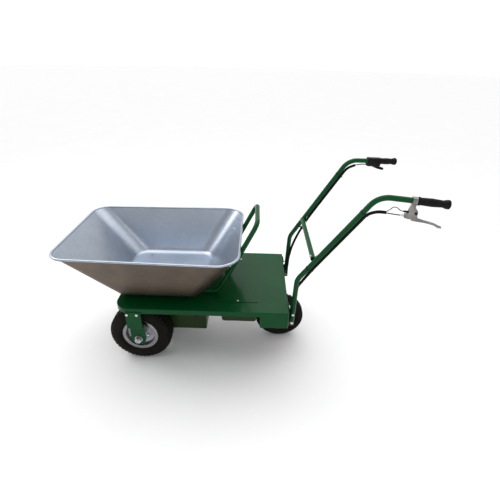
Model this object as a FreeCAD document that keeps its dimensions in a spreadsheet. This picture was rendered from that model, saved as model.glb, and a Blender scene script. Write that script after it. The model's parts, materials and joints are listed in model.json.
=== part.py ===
"""Power wheelbarrow: a battery driven barrow with a tipping pan, two driven front wheels and a rear castor.

Frame: +X points back towards the operator's handles, +Y to the operator's right as they look
forwards along -X, +Z up.  The origin is on the ground, under the middle of the whole machine.
"""
import FreeCAD
import Part
import math
import os

import Sketcher
from FreeCAD import Placement, Rotation, Vector

SIDES = (("left", -1), ("right", 1))

# Driving dimensions, in millimetres (angles in degrees).
SIZES = {
    # deck and frame
    "deck_rear_x": 268,
    "deck_length": 880,
    "deck_width": 600,
    "deck_top": 383,
    "deck_gauge": 3,
    "deck_corner": 80,
    "skirt_depth": 28,
    "tail_skirt_depth": 95,
    "tail_skirt_length": 143,
    "rail_width": 25,
    "rail_height": 35,
    "rail_wall": 2,
    "rail_outer_y": 287,
    "rail_front_x": -562,
    "member_width": 30,
    "front_member_x": -533,
    "middle_member_x": -130,
    "rear_member_x": 115,
    "port_y": 200,
    "port_z": 312,
    "port_radius": 9,
    # fasteners
    "bolt_radius": 4,
    "screw_radius": 3,
    "running_gap": 0.05,
    # battery bay
    "tray_front_x": -72,
    "tray_length": 178,
    "tray_width": 516,
    "tray_bottom": 289,
    "opening_width": 396,
    "tray_flange": 18,
    "tray_wall": 2,
    "lid_front_x": -97,
    "lid_length": 210,
    "lid_width": 440,
    "lid_gauge": 2.5,
    "lid_screw_x": 8.5,
    "lid_screw_y": 209,
    # front wheels and drive
    "axle_x": -513,
    "axle_z": 165,
    "axle_radius": 12.5,
    "wheel_y": 200,
    "tyre_width": 100,
    "rim_radius": 95,
    "tab_y": 272,
    "bracket_width": 77,
    "bracket_gauge": 4,
    "bracket_top": 364,
    "bracket_bolt_z": 350,
    "bush_radius": 17,
    "casing_front_x": -440,
    "casing_rear_x": -169,
    "casing_width": 296,
    "casing_bottom": 140,
    "casing_wall": 2,
    "motor_radius": 50,
    "motor_length": 183,
    "motor_z": 200,
    "brake_length": 36,
    # castor
    "swivel_x": 193,
    "castor_x": 246,
    "castor_radius": 140,
    "castor_width": 68,
    "castor_rim": 92,
    "castor_axle": 6,
    "kingpin_radius": 10,
    "castor_bolt": 5,
    "castor_bolt_y": 45,
    # handles
    "tube_radius": 12.5,
    "tube_wall": 2,
    "leg_x": 291,
    "leg_y": 236,
    "leg_foot": 262,
    "elbow_x": 300,
    "elbow_z": 543,
    "crook_x": 601,
    "crook_y": 286,
    "crook_z": 1004,
    "grip_end_x": 881,
    "grip_end_y": 331,
    "grip_end_z": 992,
    "grip_radius": 17,
    "left_grip_x": 757,
    "right_grip_x": 785,
    "brake_clamp_x": 744,
    "throttle_x": 748,
    "low_leg_bolt": 283,
    "high_leg_bolt": 336,
    "lug_gauge": 5,
    "tail_bolt_y": 230,
    "tail_bolt_z": 372,
    "cross_share": 0.245,
    "cross_offset": 8,
    "cross_bolt_y": 220,
    "cross_tube_end": 233,
    # cables
    "sleeve_radius": 7,
    "sleeve_bore": 5,
    "brake_cable_radius": 2.4,
    "lead_radius": 1.8,
    "harness_radius": 2.6,
    # tub
    "pan_floor": 409,
    "pan_rim": 668,
    "pan_gauge": 2,
    "pan_floor_front_x": -622,
    "pan_floor_rear_x": -169,
    "pan_floor_width": 470,
    "pan_rim_front_x": -873.95,
    "pan_rim_rear_x": 11,
    "pan_rim_front_width": 632,
    "pan_rim_rear_width": 682,
    "pan_floor_fillet": 42,
    "pan_floor_corner": 88,
    "pan_front_corner": 84,
    "pan_rear_corner": 104,
    "floor_bolt_x": -539,
    "floor_bolt_y": 196,
    "wall_bolt_z": 596,
    "wall_bolt_y": 200,
    "strap_gauge": 4,
    "hoop_foot_x": -97,
    "hoop_top_x": 98,
    "hoop_top_y": 132,
    "hoop_top_z": 787,
    "rim_roll": 6.5,
    "hinge_x": -600,
    "hinge_z": 396,
    "hinge_pin": 6,
    "runner_y": 142,
}

doc = FreeCAD.newDocument("power_wheelbarrow")
sheet = doc.addObject("Spreadsheet::Sheet", "Sizes")
for row, (alias, number) in enumerate(SIZES.items(), start=1):
    sheet.set(f"A{row}", alias)
    sheet.set(f"B{row}", str(number))
    sheet.setAlias(f"B{row}", alias)
doc.recompute()

sub_parts = []


def size(alias):
    """A driving dimension, read back from the spreadsheet."""
    return float(sheet.get(alias))


def bind(item, **expressions):
    """Ties properties of an object to spreadsheet expressions, where $name stands for a cell."""
    for name, expression in expressions.items():
        item.setExpression(name, expression.replace("$", "Sizes."))


def keep(item, label, placement=None):
    """Registers an object as one sub-part of the machine."""
    item.Label = label
    if placement is not None:
        item.Placement = placement
    sub_parts.append(item)
    return item


def feature(label, shape, placement=None):
    """A sub-part whose shape is made directly, then placed."""
    item = doc.addObject("Part::Feature", label)
    item.Shape = shape
    return keep(item, label, placement or Placement())


# ---------------------------------------------------------------- sketches and PartDesign features

def new_body(label, placement=None):
    """An empty PartDesign body that becomes one sub-part."""
    body = doc.addObject("PartDesign::Body", label)
    return keep(body, label, placement or Placement())


def new_sketch(body, plane, name, lift=0.0):
    """A sketch on one of the body's own origin planes, lifted along the plane's normal."""
    sketch = body.newObject("Sketcher::SketchObject", name)
    origin = next(item for item in body.Origin.OriginFeatures if item.Role == plane)
    sketch.AttachmentSupport = [(origin, "")]
    sketch.MapMode = "FlatFace"
    sketch.AttachmentOffset = Placement(Vector(0, 0, lift), Rotation())
    return sketch


def draw_rectangle(sketch, low_x, high_x, low_y, high_y):
    """A rectangle whose four sides are bound to spreadsheet expressions."""
    texts = [text.replace("$", "Sizes.") for text in (low_x, high_x, low_y, high_y)]
    x0, x1, y0, y1 = [float(sketch.evalExpression(text)) for text in texts]
    corners = [Vector(x0, y0, 0), Vector(x1, y0, 0), Vector(x1, y1, 0), Vector(x0, y1, 0)]
    first = sketch.GeometryCount
    for index in range(4):
        sketch.addGeometry(Part.LineSegment(corners[index], corners[(index + 1) % 4]), False)
    for index in range(4):
        sketch.addConstraint(Sketcher.Constraint("Coincident", first + index, 2, first + (index + 1) % 4, 1))
    for index, kind in enumerate(("Horizontal", "Vertical", "Horizontal", "Vertical")):
        sketch.addConstraint(Sketcher.Constraint(kind, first + index))
    marks = (("DistanceX", first, 1, x0), ("DistanceX", first + 1, 1, x1),
             ("DistanceY", first, 1, y0), ("DistanceY", first + 2, 1, y1))
    for (kind, line, point, number), text in zip(marks, texts):
        place = sketch.addConstraint(Sketcher.Constraint(kind, -1, 1, line, point, number))
        sketch.setExpression(f"Constraints[{place}]", text)


def draw_circle(sketch, x, y, radius):
    """A circle at a fixed centre, with its radius bound to a spreadsheet expression."""
    text = radius.replace("$", "Sizes.")
    number = float(sketch.evalExpression(text))
    circle = sketch.addGeometry(Part.Circle(Vector(x, y, 0), Vector(0, 0, 1), number), False)
    place = sketch.addConstraint(Sketcher.Constraint("Radius", circle, number))
    sketch.setExpression(f"Constraints[{place}]", text)


def rounded_edges(points, radii):
    """Lines and tangent arcs round a closed outline; a radius of 0 keeps its corner sharp."""
    count = len(points)
    starts, ends, arcs = [], [], []
    for index, corner in enumerate(points):
        into = (points[index - 1] - corner).normalize()
        away = (points[(index + 1) % count] - corner).normalize()
        radius = radii[index]
        if radius == 0:
            starts.append(corner)
            ends.append(corner)
            arcs.append(None)
            continue
        half = into.getAngle(away) / 2
        reach = radius / math.tan(half)
        bisector = (into + away).normalize()
        middle = corner + bisector * (radius / math.sin(half) - radius)
        starts.append(corner + into * reach)
        ends.append(corner + away * reach)
        arcs.append(Part.Arc(starts[-1], middle, ends[-1]))
    edges = []
    for index in range(count):
        if arcs[index] is not None:
            edges.append(arcs[index])
        edges.append(Part.LineSegment(ends[index], starts[(index + 1) % count]))
    return edges


def draw_outline(sketch, points, radii):
    """A closed outline with rounded corners, drawn in the sketch plane."""
    flat = [Vector(x, y, 0) for x, y in points]
    for edge in rounded_edges(flat, radii):
        sketch.addGeometry(edge, False)


def add_pad(body, sketch, name, length, down=False, centred=False):
    """A pad whose length is a spreadsheet expression."""
    pad = body.newObject("PartDesign::Pad", name)
    pad.Profile = sketch
    bind(pad, Length=length)
    pad.Reversed = down
    pad.Midplane = centred
    body.Tip = pad
    return pad


def add_pocket(body, sketch, name, length, up=False, centred=False):
    """A pocket whose depth is a spreadsheet expression; the cut volume is checked."""
    before = body.Tip
    doc.recompute()
    full = before.Shape.Volume
    pocket = body.newObject("PartDesign::Pocket", name)
    pocket.Profile = sketch
    bind(pocket, Length=length)
    pocket.Reversed = up
    pocket.Midplane = centred
    body.Tip = pocket
    doc.recompute()
    if pocket.Shape.Volume > full - 1:
        raise RuntimeError(f"{body.Label}: {name} cuts nothing")
    return pocket


def add_fillet(body, name, radius, chosen):
    """Rounds the edges of a body's tip that the test `chosen` picks out."""
    doc.recompute()
    base = body.Tip
    edges = [f"Edge{index}" for index, edge in enumerate(base.Shape.Edges, start=1) if chosen(edge)]
    rounding = body.newObject("PartDesign::Fillet", name)
    rounding.Base = (base, edges)
    rounding.Radius = radius
    body.Tip = rounding
    doc.recompute()
    return rounding


def add_revolution(body, sketch, name, axis="V_Axis"):
    """A full turn of a closed sketch about one of its own axes."""
    turn = body.newObject("PartDesign::Revolution", name)
    turn.Profile = sketch
    turn.ReferenceAxis = (sketch, [axis])
    turn.Angle = 360
    body.Tip = turn
    return turn


# ---------------------------------------------------------------- direct shapes

def box(low, high):
    """A box between two opposite corners."""
    span = Vector(*high) - Vector(*low)
    return Part.makeBox(span.x, span.y, span.z, Vector(*low))


def rod(start, end, radius):
    """A round bar between two points."""
    start, end = Vector(*start), Vector(*end)
    return Part.makeCylinder(radius, (end - start).Length, start, end - start)


def hexagon(start, end, across_flats):
    """A hexagonal bar between two points, such as a bolt head or a nut."""
    start, end = Vector(*start), Vector(*end)
    radius = across_flats / math.sqrt(3)
    ring = [Vector(radius * math.cos(math.radians(60 * i)), radius * math.sin(math.radians(60 * i)), 0)
            for i in range(7)]
    prism = Part.Face(Part.makePolygon(ring)).extrude(Vector(0, 0, (end - start).Length))
    prism.Placement = Placement(start, Rotation(Vector(0, 0, 1), end - start))
    return prism


def bolt(head, tip, shank_radius, nut_at=None):
    """A hexagon bolt: the shank runs from under its head at `head` to `tip`, with an optional nut."""
    head, tip = Vector(*head), Vector(*tip)
    along = (tip - head).normalize()
    flats = shank_radius * 3.25
    shape = rod(head, tip, shank_radius).fuse(hexagon(head - along * shank_radius * 1.3, head, flats))
    if nut_at is not None:
        nut = hexagon(head + along * nut_at, head + along * (nut_at + shank_radius * 1.6), flats)
        shape = shape.fuse(nut)
    return shape.removeSplitter()


def group(shapes):
    """Identical pieces kept as separate solids of one sub-part."""
    return Part.makeCompound(shapes)


def fused(shapes):
    """Pieces welded into one solid."""
    return shapes[0].fuse(shapes[1:]).removeSplitter()


def route_wire(points, radii):
    """Straight runs joined by tangent arcs; radii has one entry for each inner point."""
    points = [Vector(*point) for point in points]
    edges = []
    start = points[0]
    for index, radius in enumerate(radii, start=1):
        corner = points[index]
        into = (points[index - 1] - corner).normalize()
        away = (points[index + 1] - corner).normalize()
        half = into.getAngle(away) / 2
        reach = radius / math.tan(half)
        middle = corner + (into + away).normalize() * (radius / math.sin(half) - radius)
        edges.append(Part.LineSegment(start, corner + into * reach).toShape())
        edges.append(Part.Arc(corner + into * reach, middle, corner + away * reach).toShape())
        start = corner + away * reach
    edges.append(Part.LineSegment(start, points[-1]).toShape())
    return Part.Wire(edges)


def pipe(points, radii, radius):
    """A round bar swept along a bent route, with its volume compared with section times length."""
    wire = route_wire(points, radii)
    start = Vector(*points[0])
    ring = Part.Wire(Part.makeCircle(radius, start, Vector(*points[1]) - start))
    solid = wire.makePipeShell([ring], True, False)
    ideal = math.pi * radius ** 2 * wire.Length
    if abs(solid.Volume / ideal - 1) > 0.01:
        raise RuntimeError(f"bent bar: volume {solid.Volume:.0f} against {ideal:.0f}")
    return solid


def natural_radii(points):
    """The arc radius at each inner point of a cord: 0.45 of the shorter run over tan(half the turn)."""
    points = [Vector(*point) for point in points]
    radii = []
    for index in range(1, len(points) - 1):
        into = points[index] - points[index - 1]
        away = points[index + 1] - points[index]
        radii.append(0.45 * min(into.Length, away.Length) / math.tan(into.getAngle(away) / 2))
    return radii


def bends(label, points):
    """Natural bend radii of a cable route, printed so that a tight bend is seen."""
    radii = natural_radii(points)
    print(f"{label}: radii " + ", ".join(f"{value:.0f}" for value in radii))
    return radii


def cord(label, points, radius):
    """A cable along a list of route points."""
    return pipe(points, bends(label, points), radius)


def hollow_pipe(points, radii, radius, wall):
    """A bent tube with open ends."""
    return pipe(points, radii, radius).cut(pipe(points, radii, radius - wall))


# ---------------------------------------------------------------- deck, frame and battery bay

def make_deck():
    """The folded deck panel: shallow skirt all round, deeper tail skirts, battery opening."""
    rear = size("deck_rear_x")
    front = rear - size("deck_length")
    half = size("deck_width") / 2
    corner = size("deck_corner")
    gauge = size("deck_gauge")
    tail = rear - size("tail_skirt_length")
    body = new_body("deck_panel")
    bind(body, **{".Placement.Base.z": "$deck_top - $skirt_depth"})

    outline = new_sketch(body, "XY_Plane", "deck_outline")
    draw_outline(outline, [(front, -half), (rear, -half), (rear, half), (front, half)],
                 [corner, 6, 6, corner])
    add_pad(body, outline, "deck_block", "$skirt_depth")
    top_edges_from = size("skirt_depth") - 1
    add_fillet(body, "deck_fold", 3, lambda edge: edge.BoundBox.ZMin > top_edges_from)

    inside = new_sketch(body, "XY_Plane", "deck_inside")
    low, high, wide = front + gauge, rear - gauge, half - gauge
    draw_outline(inside, [(low, -wide), (high, -wide), (high, wide), (low, wide)],
                 [corner - gauge, 3, 3, corner - gauge])
    add_pocket(body, inside, "deck_hollow", "$skirt_depth - $deck_gauge", up=True)

    skirt = new_sketch(body, "XY_Plane", "tail_skirt_outline")
    draw_outline(skirt, [(tail, -half), (rear, -half), (rear, half), (tail, half),
                         (tail, wide), (high, wide), (high, -wide), (tail, -wide)],
                 [0, 6, 6, 0, 0, 3, 3, 0])
    add_pad(body, skirt, "tail_skirt", "$tail_skirt_depth - $skirt_depth", down=True)

    opening = new_sketch(body, "XY_Plane", "battery_opening_outline")
    draw_rectangle(opening, "$tray_front_x + $tray_wall", "$tray_front_x + $tray_length - $tray_wall",
                   "-$opening_width / 2", "$opening_width / 2")
    for _, side in SIDES:
        draw_circle(opening, size("lid_screw_x"), side * size("lid_screw_y"), "$screw_radius + $running_gap")
    add_pocket(body, opening, "battery_opening", "$skirt_depth + 1", up=True)

    rear_holes = new_sketch(body, "YZ_Plane", "rear_skirt_holes")
    skirt_foot = size("deck_top") - size("skirt_depth")
    for _, side in SIDES:
        draw_circle(rear_holes, side * size("port_y"), size("port_z") - skirt_foot, "$port_radius")
        draw_circle(rear_holes, side * size("tail_bolt_y"), size("tail_bolt_z") - skirt_foot,
                    "$bolt_radius + $running_gap")
    add_pocket(body, rear_holes, "rear_skirt_bores", "$deck_rear_x + 10", up=True)


def make_frame():
    """Two box rails under the deck, joined by four box cross members."""
    outer = size("rail_outer_y")
    top = size("deck_top") - size("deck_gauge")
    wall = size("rail_wall")
    width, height = size("rail_width"), size("rail_height")
    rear = size("deck_rear_x") - size("deck_gauge")
    for name, side in SIDES:
        body = new_body(f"{name}_frame_rail")
        bind(body, **{".Placement.Base.x": "$rail_front_x"})
        section = new_sketch(body, "YZ_Plane", f"{name}_rail_section")
        near, far = sorted((side * outer, side * (outer - width)))
        draw_rectangle(section, str(near), str(far), "$deck_top - $deck_gauge - $rail_height",
                       "$deck_top - $deck_gauge")
        draw_rectangle(section, str(near + wall), str(far - wall),
                       "$deck_top - $deck_gauge - $rail_height + $rail_wall",
                       "$deck_top - $deck_gauge - $rail_wall")
        add_pad(body, section, f"{name}_rail_pad", "$deck_rear_x - $deck_gauge - $rail_front_x")
        seat_start = size("axle_x") - size("bracket_width") / 2 - size("rail_front_x") + 2.5
        seat = new_sketch(body, "YZ_Plane", f"{name}_bracket_seat", lift=seat_start)
        low, high = sorted((side * outer, side * size("deck_width") / 2))
        draw_rectangle(seat, str(low), str(high), "$deck_top - $skirt_depth - 11.5",
                       "$deck_top - $skirt_depth - 0.1")
        add_pad(body, seat, f"{name}_seat_pad", "$bracket_width - 5")
        holes = new_sketch(body, "XZ_Plane", f"{name}_bracket_holes")
        for x in bracket_bolt_xs():
            draw_circle(holes, x - size("rail_front_x"), size("bracket_bolt_z"),
                        "$bolt_radius + $running_gap")
        add_pocket(body, holes, f"{name}_bracket_bores", "$deck_width / 2", up=side < 0)

    reach = outer - width
    bore = size("castor_bolt") + size("running_gap")
    tail_bore = size("bolt_radius") + size("running_gap")
    members = {"front_cross_members": [size("front_member_x"), size("middle_member_x")],
               "rear_cross_members": [size("rear_member_x"), rear - size("member_width") - 1]}
    for label, starts in members.items():
        tubes = []
        for x in starts:
            end = x + size("member_width")
            tube = box((x, -reach, top - height), (end, reach, top))
            tube = tube.cut(box((x + wall, -reach, top - height + wall), (end - wall, reach, top - wall)))
            if label == "rear_cross_members":
                for y in (-size("castor_bolt_y"), size("castor_bolt_y")):
                    middle = castor_bolt_x(x)
                    tube = tube.cut(rod((middle, y, top - height - 1), (middle, y, top - 10), bore))
            if end > rear - 5:
                for _, side in SIDES:
                    y, z = side * size("tail_bolt_y"), size("tail_bolt_z")
                    tube = tube.cut(rod((end - wall - 1, y, z), (end + 1, y, z), tail_bore))
            tubes.append(tube)
        feature(label, group(tubes))


def bracket_bolt_xs():
    """Where the two bolts of a wheel bracket stand along the deck."""
    middle = size("axle_x") - 5
    return (middle - 25, middle + 25)


def castor_bolt_x(member_x):
    """The castor plate's bolts pass up the middle of each rear cross member."""
    return member_x + size("member_width") / 2


def make_battery_bay():
    """Battery tray hung in the deck opening, its lid, and two sealed batteries."""
    body = new_body("battery_tray")
    bind(body, **{".Placement.Base.z": "$tray_bottom"})
    front, long = size("tray_front_x"), size("tray_length")
    wall = size("tray_wall")
    half = size("tray_width") / 2
    outline = new_sketch(body, "XY_Plane", "tray_outline")
    draw_outline(outline, [(front, -half), (front + long, -half), (front + long, half), (front, half)],
                 [12] * 4)
    add_pad(body, outline, "tray_block", "$deck_top - $deck_gauge - $tray_bottom")
    add_fillet(body, "tray_rounding", 8, lambda edge: edge.BoundBox.ZMax < 1)
    flange_at = size("deck_top") - size("deck_gauge") - size("tray_bottom") - wall
    flange = new_sketch(body, "XY_Plane", "tray_flange_outline", lift=flange_at)
    draw_rectangle(flange, "$tray_front_x - $tray_flange", "$tray_front_x + $tray_length + 8",
                   "-$tray_width / 2", "$tray_width / 2")
    add_pad(body, flange, "tray_flange_pad", "$tray_wall")
    hollow = new_sketch(body, "XY_Plane", "tray_hollow_outline", lift=wall)
    low, high, wide = front + wall, front + long - wall, half - wall
    draw_outline(hollow, [(low, -wide), (high, -wide), (high, wide), (low, wide)], [6] * 4)
    add_pocket(body, hollow, "tray_hollow", "$deck_top - $tray_bottom", up=True)

    lid = new_body("battery_lid")
    bind(lid, **{".Placement.Base.z": "$deck_top"})
    outline = new_sketch(lid, "XY_Plane", "lid_outline")
    draw_rectangle(outline, "$lid_front_x", "$lid_front_x + $lid_length", "-$lid_width / 2", "$lid_width / 2")
    for _, side in SIDES:
        draw_circle(outline, size("lid_screw_x"), side * size("lid_screw_y"), "$screw_radius + $running_gap")
    add_pad(lid, outline, "lid_plate", "$lid_gauge")

    top = size("deck_top") + size("lid_gauge")
    screws = []
    for _, side in SIDES:
        x, y = size("lid_screw_x"), side * size("lid_screw_y")
        head = Part.makeCone(6, 4, 3, Vector(x, y, top))
        screws.append(rod((x, y, top - 14), (x, y, top), size("screw_radius")).fuse(head).removeSplitter())
    feature("lid_screws", group(screws))

    batteries = []
    case_length, case_width, case_height, clear = 166, 181, 77, 0.2
    floor = size("tray_bottom") + wall + clear
    middle = front + long / 2
    for _, side in SIDES:
        y = side * (case_width / 2 + 3.5)
        case = box((middle - case_length / 2, y - case_width / 2, floor),
                   (middle + case_length / 2, y + case_width / 2, floor + case_height))
        case = case.makeFillet(4, [edge for edge in case.Edges if edge.BoundBox.ZLength > 50])
        posts = [rod((middle - 60, y + off, floor + case_height), (middle - 60, y + off, floor + 83), 6)
                 for off in (-60, 60)]
        batteries.append(fused([case] + posts))
    feature("batteries", group(batteries))


# ---------------------------------------------------------------- front wheels and their drive

def wheel_placement(side):
    """A wheel's frame: its own +Y points outwards from the machine."""
    turn = Rotation() if side > 0 else Rotation(Vector(0, 0, 1), 180)
    return Placement(Vector(size("axle_x"), side * size("wheel_y"), size("axle_z")), turn)


def make_tyre(label, placement, radius, rim, width, wall):
    """A tyre carcass: a rounded casing with its beads on the rim, open inside."""
    body = new_body(label, placement)
    section = new_sketch(body, "XY_Plane", f"{label}_section")
    half = width / 2
    bead = half - 10
    seat = rim - 15.5
    outer = [(seat, bead), (rim + 4, bead), (rim + 14, half), (radius - 22, half), (radius, half - 20)]
    inner = [(radius - wall, half - 26), (radius - 28, half - wall), (rim + 14, half - wall),
             (rim + 2, bead - wall), (seat, bead - wall)]
    points = outer + [(x, -y) for x, y in reversed(outer)]
    points += [(x, -y) for x, y in reversed(inner)] + inner
    flat = radius - rim - 36
    outer_radii = [3.5, 8, min(18, 0.8 * flat), min(22, 1.5 * flat), 16]
    soft = min(14, 0.58 * flat)
    inner_radii = [12, soft, soft, 8, 1.5]
    draw_outline(section, points, outer_radii + outer_radii[::-1] + inner_radii[::-1] + inner_radii)
    add_revolution(body, section, f"{label}_turn")


def make_wheel(name, side):
    """One driven front wheel: half shaft, hub, pressed rim, rim bolts, tyre and axle nut."""
    place = wheel_placement(side)
    rim = size("rim_radius")
    gap = size("running_gap")
    bolt_radius = size("bolt_radius")
    make_tyre(f"{name}_tyre", place, size("axle_z"), rim, size("tyre_width"), 9)

    body = new_body(f"{name}_rim", place)
    section = new_sketch(body, "XY_Plane", f"{name}_rim_section")
    seat, lip = rim - 15.5, size("tyre_width") / 2 - 10
    points = [(rim, lip + 3), (rim, lip), (seat, lip), (seat, -lip), (rim, -lip), (rim, -lip - 3),
              (seat - 3, -lip - 3), (seat - 3, 11), (58, 4), (26, 4), (26, 8), (57, 8),
              (seat - 3, 15), (seat - 3, lip + 3)]
    draw_outline(section, points, [1.2, 1.2, 3, 3, 1.2, 1.2, 3, 6, 12, 0, 0, 12, 6, 3])
    add_revolution(body, section, f"{name}_rim_turn")
    bolts = new_sketch(body, "XZ_Plane", f"{name}_rim_bolt_holes")
    for x, z in rim_bolt_points():
        draw_circle(bolts, x, z, "$bolt_radius + $running_gap")
    add_pocket(body, bolts, f"{name}_rim_bolt_bores", "40", centred=True)

    shaft_radius, thread = size("axle_radius"), size("axle_radius") - 2.5
    inboard, shoulder, tip = 20 - size("wheel_y"), 78, 97
    shaft = rod((0, inboard, 0), (0, shoulder, 0), shaft_radius)
    shaft = shaft.fuse(rod((0, shoulder, 0), (0, tip, 0), thread))
    feature(f"{name}_half_shaft", shaft.removeSplitter(), place)

    hub = rod((0, -42, 0), (0, 26, 0), 25.5).fuse(rod((0, -2, 0), (0, 4, 0), 55))
    hub = hub.cut(rod((0, -50, 0), (0, 50, 0), shaft_radius + gap))
    fixings = []
    for x, z in rim_bolt_points():
        hub = hub.cut(rod((x, -10, z), (x, 10, z), bolt_radius + gap))
        fixings.append(bolt((x, 8, z), (x, -12, z), bolt_radius, nut_at=10))
    feature(f"{name}_hub", hub.removeSplitter(), place)
    feature(f"{name}_rim_bolts", group(fixings), place)
    nut = hexagon((0, shoulder + 1, 0), (0, shoulder + 13, 0), 30)
    nut = nut.cut(rod((0, shoulder - 8, 0), (0, tip + 3, 0), thread + gap))
    feature(f"{name}_axle_nut", nut, place)


def rim_bolt_points():
    """Four rim bolts on a 90 mm circle, in the wheel's own X and Z."""
    angles = [math.radians(45 + 90 * index) for index in range(4)]
    return [(42 * math.cos(angle), 42 * math.sin(angle)) for angle in angles]


def make_wheel_bracket(name, side):
    """Outboard bracket: a plate bolted to the rail seat, joggled inwards to the axle tab."""
    body = new_body(f"{name}_wheel_bracket")
    bind(body, **{".Placement.Base.x": "$axle_x - $bracket_width / 2"})
    section = new_sketch(body, "YZ_Plane", f"{name}_bracket_section")
    gauge = size("bracket_gauge")
    plate, tab = size("deck_width") / 2, size("tab_y") - gauge
    top, foot = size("bracket_top"), size("axle_z") - 38
    points = [(plate + gauge, top), (plate + gauge, 261), (tab + gauge, 239), (tab + gauge, foot),
              (tab, foot), (tab, 241), (plate, 263), (plate, top)]
    draw_outline(section, [(side * y, z) for y, z in points], [0, 5, 3, 0, 0, 7, 2, 0])
    add_pad(body, section, f"{name}_bracket_pad", "$bracket_width")
    add_fillet(body, f"{name}_bracket_rounding", 38,
               lambda edge: edge.BoundBox.ZMax < foot + 1 and edge.BoundBox.XLength < 1)
    holes = new_sketch(body, "XZ_Plane", f"{name}_bracket_holes")
    shift = size("axle_x") - size("bracket_width") / 2
    for x in bracket_bolt_xs():
        draw_circle(holes, x - shift, size("bracket_bolt_z"), "$bolt_radius + $running_gap")
    draw_circle(holes, size("bracket_width") / 2, size("axle_z"), "$bush_radius + $running_gap")
    add_pocket(body, holes, f"{name}_bracket_bores", "$deck_width", up=side < 0)


def make_axle_supports():
    """Bracket bolts and the flanged bushes that carry the outer ends of the half shafts."""
    bolts, bushes = [], []
    x, z, tab = size("axle_x"), size("axle_z"), size("tab_y")
    face = size("deck_width") / 2 + size("bracket_gauge")
    inner = size("rail_outer_y") - size("rail_width")
    height = size("bracket_bolt_z")
    for _, side in SIDES:
        for bolt_x in bracket_bolt_xs():
            head, tip = (bolt_x, side * face, height), (bolt_x, side * (inner - 9), height)
            bolts.append(bolt(head, tip, size("bolt_radius"), nut_at=face - inner))
        bush = rod((x, side * (tab - 14), z), (x, side * tab, z), size("bush_radius"))
        bush = bush.fuse(rod((x, side * tab, z), (x, side * (tab + 4), z), size("bush_radius") + 4))
        bore = size("axle_radius") + size("running_gap")
        bushes.append(bush.cut(rod((x, side * 200, z), (x, side * 300, z), bore)).removeSplitter())
    feature("bracket_bolts", group(bolts))
    feature("axle_bushes", group(bushes))


def make_drive():
    """Transaxle with its motor and cable brake, and the sheet casing behind it."""
    x, z = size("axle_x"), size("axle_z")
    under = size("deck_top") - size("deck_gauge") - size("rail_height")
    face, height = size("casing_front_x") - 5, size("motor_z")
    case = box((x - 62, -58, 100), (face, 58, 245))
    case = case.makeFillet(14, case.Edges)
    post_x = size("front_member_x") + 2
    posts = [box((post_x, y - 10, 200), (post_x + 26, y + 10, under)) for y in (-38, 38)]
    housing = fused([case, rod((x, -140, z), (x, 140, z), 22)] + posts)
    bore = size("axle_radius") + size("running_gap")
    for _, side in SIDES:
        housing = housing.cut(rod((x, side * 18, z), (x, side * 141, z), bore))
    feature("transaxle_housing", housing)

    end = face + size("motor_length")
    radius = size("motor_radius")
    motor = rod((face, 0, height), (end, 0, height), radius)
    waist = rod((face + 60, 0, height), (face + 120, 0, height), radius + 10)
    motor = motor.cut(waist.cut(rod((face + 60, 0, height), (face + 120, 0, height), radius - 3)))
    feature("drive_motor", motor)

    tail = end + size("brake_length")
    cable_x, cable_z = brake_entry()
    brake = rod((end, 0, height), (tail, 0, height), 42)
    brake = brake.fuse([box((tail - 4, -46, height), (tail, 0, height + 56)),
                        box((tail - 4, -46, height + 36), (tail + 20, -42, height + 56)),
                        rod((tail, 0, height), (tail + 18, 0, height), 6)])
    brake = brake.cut(rod((cable_x, -60, cable_z), (cable_x, -30, cable_z), 2))
    feature("motor_brake", brake.removeSplitter())

    arm = rod((tail + 4, 0, height), (tail + 10, 0, height), 11)
    arm = arm.fuse(box((tail + 4, -6, height), (tail + 10, 6, height + 50)))
    arm = arm.cut(rod((tail, 0, height), (tail + 20, 0, height), 6 + size("running_gap")))
    feature("brake_arm", arm.removeSplitter())

    body = new_body("drive_casing")
    bind(body, **{".Placement.Base.z": "$casing_bottom"})
    outline = new_sketch(body, "XY_Plane", "casing_outline")
    draw_rectangle(outline, "$casing_front_x", "$casing_rear_x", "-$casing_width / 2", "$casing_width / 2")
    add_pad(body, outline, "casing_block", "$deck_top - $deck_gauge - $casing_bottom")
    hollow = new_sketch(body, "XY_Plane", "casing_hollow_outline", lift=size("casing_wall"))
    draw_rectangle(hollow, "$casing_front_x + $casing_wall", "$casing_rear_x - $casing_wall",
                   "-$casing_width / 2 + $casing_wall", "$casing_width / 2 - $casing_wall")
    add_pocket(body, hollow, "casing_hollow", "$deck_top - $casing_bottom", up=True)
    nose = new_sketch(body, "YZ_Plane", "casing_motor_hole", lift=size("casing_front_x") - 10)
    draw_circle(nose, 0, height - size("casing_bottom"), "$motor_radius + 4")
    add_pocket(body, nose, "casing_motor_bore", "20", up=True)
    port = new_sketch(body, "XZ_Plane", "casing_cable_hole")
    draw_circle(port, cable_x, cable_z - size("casing_bottom"), "7")
    add_pocket(body, port, "casing_cable_bore", "$casing_width", up=True)


def brake_entry():
    """X and height at which the brake cable reaches the motor brake."""
    tail = size("casing_front_x") - 5 + size("motor_length") + size("brake_length")
    return tail + 13, size("motor_z") + 46


# ---------------------------------------------------------------- rear castor

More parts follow.
